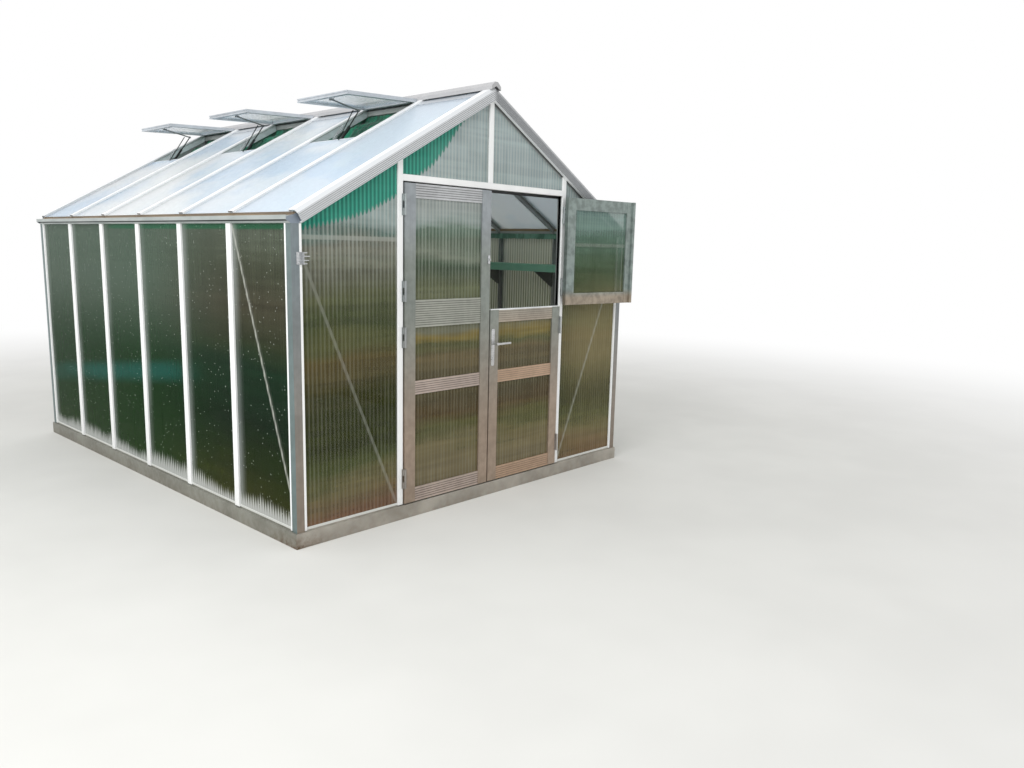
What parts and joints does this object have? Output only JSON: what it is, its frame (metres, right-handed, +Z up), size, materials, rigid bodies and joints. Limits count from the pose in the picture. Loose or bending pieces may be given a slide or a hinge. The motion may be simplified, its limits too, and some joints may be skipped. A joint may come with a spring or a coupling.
{
  "type": "glass greenhouse",
  "caption": "Gable greenhouse of aluminium bars and twin-wall sheets, with a split double door, gutters and raised roof vents.",
  "frame": {"origin": "centre of the bounding box's bottom face, on the ground under the base rails", "axes": "+X to the right seen from the door gable, +Y from the door gable to the back, +Z up"},
  "size_m": [2.942, 3.8952, 2.643],
  "materials": {
    "frame_metal": "satin extruded aluminium",
    "white_strip": "white satin enamel",
    "wall_sheet": "translucent twin-wall sheet",
    "roof_sheet": "translucent twin-wall sheet",
    "door_metal": "satin extruded aluminium",
    "hinge_steel": "brushed",
    "vent_grey": "satin",
    "curb_grey": "satin",
    "opener_black": "satin black",
    "shelf_green": "satin green",
    "bracket_dark": "satin",
    "green_cloth": "woven shade cloth",
    "plated_steel": "polished"
  },
  "bodies": {
    "house": {"base_rail_front": "frame_metal", "base_rail_back": "frame_metal", "base_rail_left": "frame_metal", "base_rail_right": "frame_metal", "corner_post_front_left": "frame_metal", "corner_post_front_right": "frame_metal", "corner_post_back_left": "frame_metal", "corner_post_back_right": "frame_metal", "eave_gutter_left": "frame_metal", "eave_gutter_right": "frame_metal", "ridge_beam": "frame_metal", "ridge_cap": "white_strip", "ridge_flashings": "vent_grey", "wall_bars": "frame_metal", "wall_strips": "white_strip", "gable_posts": "frame_metal", "gable_strips": "white_strip", "door_lintel": "frame_metal", "gable_rafters": "frame_metal", "verge_covers": "white_strip", "roof_bars": "frame_metal", "roof_strips": "white_strip", "side_panes": "wall_sheet", "gable_panes": "wall_sheet", "roof_panes": "roof_sheet", "vent_frames": "vent_grey", "vent_panes": "roof_sheet", "vent_curbs": "curb_grey", "vent_openers": "opener_black", "post_hinges": "hinge_steel", "door_catch": "bracket_dark", "bracing_bars": "frame_metal", "shelf_board": "shelf_green", "shelf_brackets": "bracket_dark", "shade_cloth": "green_cloth", "eave_cloth": "green_cloth"},
    "left_leaf": {"left_leaf_stiles": "door_metal", "left_leaf_rails": "door_metal", "left_leaf_panes": "wall_sheet", "left_leaf_hinges": "hinge_steel", "leaf_latch": "bracket_dark"},
    "lower_leaf": {"lower_leaf_stiles": "door_metal", "lower_leaf_rails": "door_metal", "lower_leaf_panes": "wall_sheet", "lower_leaf_hinges": "hinge_steel", "lock_plate": "plated_steel"},
    "upper_leaf": {"upper_leaf_stiles": "door_metal", "upper_leaf_rails": "door_metal", "upper_leaf_panes": "wall_sheet", "upper_leaf_hinges": "hinge_steel"},
    "lever": {"lever_handle": "plated_steel"}
  },
  "joints": [
    {"name": "left_leaf_hinge", "type": "hinge", "parent": "house", "child": "left_leaf", "pos_m": [-0.709, -1.83038, 0.093], "axis": [0, 0, -1], "range_deg": [0, 174.5]},
    {"name": "lower_leaf_hinge", "type": "hinge", "parent": "house", "child": "lower_leaf", "pos_m": [0.709, -1.83038, 0.093], "axis": [0, 0, 1], "range_deg": [0, 170]},
    {"name": "upper_leaf_hinge", "type": "hinge", "parent": "house", "child": "upper_leaf", "pos_m": [0.709, -1.83038, 1.249], "axis": [0, 0, 1], "range_deg": [-174.5, 0]},
    {"name": "lever_turn", "type": "hinge", "parent": "lower_leaf", "child": "lever", "pos_m": [0.03, -1.85238, 1.02], "axis": [0, 1, 0], "range_deg": [0, 38], "stiffness_Nm_per_rad": 0.4}
  ]
}
